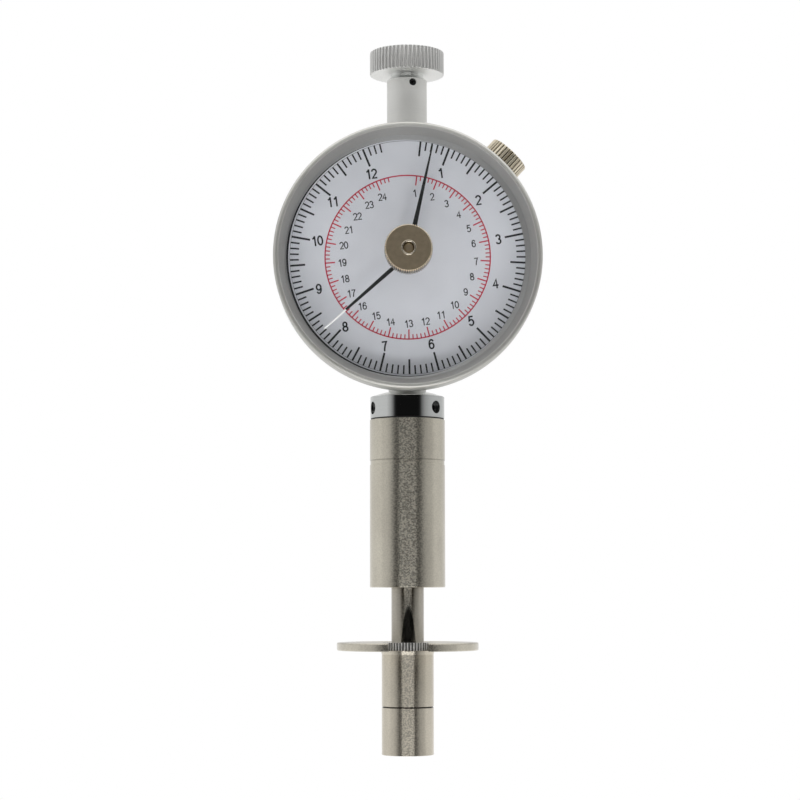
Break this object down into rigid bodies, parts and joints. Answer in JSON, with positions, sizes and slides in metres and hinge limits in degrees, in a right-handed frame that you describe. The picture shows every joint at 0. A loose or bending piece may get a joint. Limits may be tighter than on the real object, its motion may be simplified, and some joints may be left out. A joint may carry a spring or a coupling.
{
  "type": "fruit penetrometer",
  "caption": "Hand-held fruit firmness tester: a round dial with a peak pointer and reset knob on a spring barrel, whose plunger ends in a cylindrical pressure head with a splash disc.",
  "frame": {"origin": "centre of the pressure head's flat end, at the foot of the plunger", "axes": "+Z along the plunger towards the press cap, -Y out of the dial towards the reader, +X to the right"},
  "size_m": [0.0566, 0.0365, 0.1505],
  "materials": {
    "steel": "fine turned, polished",
    "chrome": "bright plated",
    "brass": "aged, knurled",
    "spring_steel": "oiled wire",
    "black_steel": "blackened",
    "pointer_black": "satin black",
    "dial_face": "matt pale lacquer",
    "clear_crystal": "clear, polished"
  },
  "bodies": {
    "case": {"case_body": "chrome", "back_cover": "chrome", "back_cover_screws": "steel", "lower_stem": "chrome", "upper_stem": "chrome", "press_cap": "chrome", "cap_set_screw": "black_steel", "clamp_collar": "chrome", "collar_set_screws": "black_steel", "barrel": "steel", "lower_bush": "brass", "force_spring": "spring_steel", "front_bush": "brass", "pinion_cock": "brass", "cock_screws": "steel", "guide_channel": "brass", "guide_channel_screws": "steel", "bezel_clamp": "chrome", "bezel_snap_ring": "spring_steel"},
    "plunger": {"pressure_head": "steel", "splash_guard": "steel", "plunger_rod": "steel", "spring_follower": "steel", "spindle": "steel", "rack": "steel", "rack_screws": "steel", "guide_pin": "steel"},
    "pointer": {"pinion_arbor": "steel", "main_pointer": "pointer_black"},
    "bezel": {"bezel": "chrome", "crystal": "clear_crystal", "dial_plate": "dial_face", "dial_ring": "chrome", "crystal_bush": "brass"},
    "peak": {"reset_knob": "brass", "reset_arbor": "steel", "friction_washer": "spring_steel", "peak_pointer": "pointer_black"},
    "lock": {"lock_screw": "brass"}
  },
  "joints": [
    {"name": "plunger_slide", "type": "slide", "parent": "case", "child": "plunger", "axis": [0, 0, 1], "range_m": [0, 0.0093], "stiffness_N_per_m": 12200, "springref_m": -0.0004, "deforming": ["force_spring"]},
    {"name": "pointer_turn", "type": "hinge", "parent": "case", "child": "pointer", "pos_m": [0, -0.006, 0.1046], "axis": [0, 1, 0], "range_deg": [0, 334]},
    {"name": "bezel_turn", "type": "hinge", "parent": "case", "child": "bezel", "pos_m": [0, -0.009, 0.1046], "axis": [0, 1, 0], "continuous": true},
    {"name": "reset_turn", "type": "hinge", "parent": "bezel", "child": "peak", "pos_m": [0, -0.015, 0.1046], "axis": [0, 1, 0], "range_deg": [-210, 117]},
    {"name": "lock_turn", "type": "hinge", "parent": "case", "child": "lock", "pos_m": [0, 0, 0.1046], "axis": [0.682, 0, 0.7314], "range_deg": [0, 180]}
  ],
  "couplings": [
    {"joint": "pointer_turn", "follows": "plunger_slide", "rad_per_m": 625}
  ]
}
